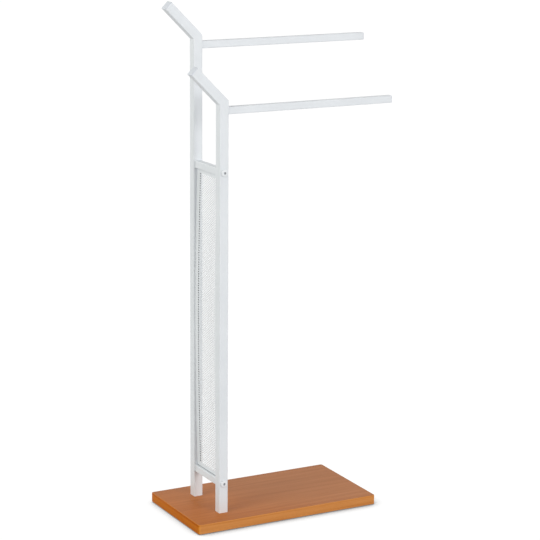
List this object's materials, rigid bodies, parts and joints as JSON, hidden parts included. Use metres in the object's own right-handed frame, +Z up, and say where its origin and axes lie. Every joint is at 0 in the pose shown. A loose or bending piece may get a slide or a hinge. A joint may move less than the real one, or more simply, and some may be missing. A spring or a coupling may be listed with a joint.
{
  "type": "freestanding towel stand",
  "caption": "Freestanding towel stand: square-tube uprights with leaning hook arms and cantilevered rails, a mesh ladder panel between them, on a flat wood-decor base board.",
  "frame": {"origin": "on the floor, under the middle of the overall length and depth", "axes": "+X along the rails away from the hooks, +Y from the lower front upright to the taller rear one, +Z up"},
  "size_m": [0.3768, 0.186, 0.8572],
  "materials": {
    "board": "printed beech decor on board, satin",
    "white_steel": "white powder coat, low gloss",
    "white_sheet": "white powder coat on expanded metal",
    "cap_plastic": "white plastic, matte",
    "bolt_white": "white painted bolts, bare socket",
    "zinc": "zinc plated",
    "pads": "foam rubber, matte"
  },
  "bodies": {
    "root": {"base_board": "board", "base_pads": "pads", "base_washers": "zinc", "base_bolts": "zinc", "panel_bolts": "bolt_white", "crossbar_nuts": "zinc", "front_foot_plug": "zinc", "rear_foot_plug": "zinc", "front_post": "white_steel", "rear_post": "white_steel", "front_hook_arm": "white_steel", "rear_hook_arm": "white_steel", "front_rail": "white_steel", "rear_rail": "white_steel", "upper_crossbar": "white_steel", "lower_crossbar": "white_steel", "mesh_panel": "white_sheet", "front_hook_cap": "cap_plastic", "rear_hook_cap": "cap_plastic", "front_rail_cap": "cap_plastic", "rear_rail_cap": "cap_plastic"}
  },
  "joints": []
}
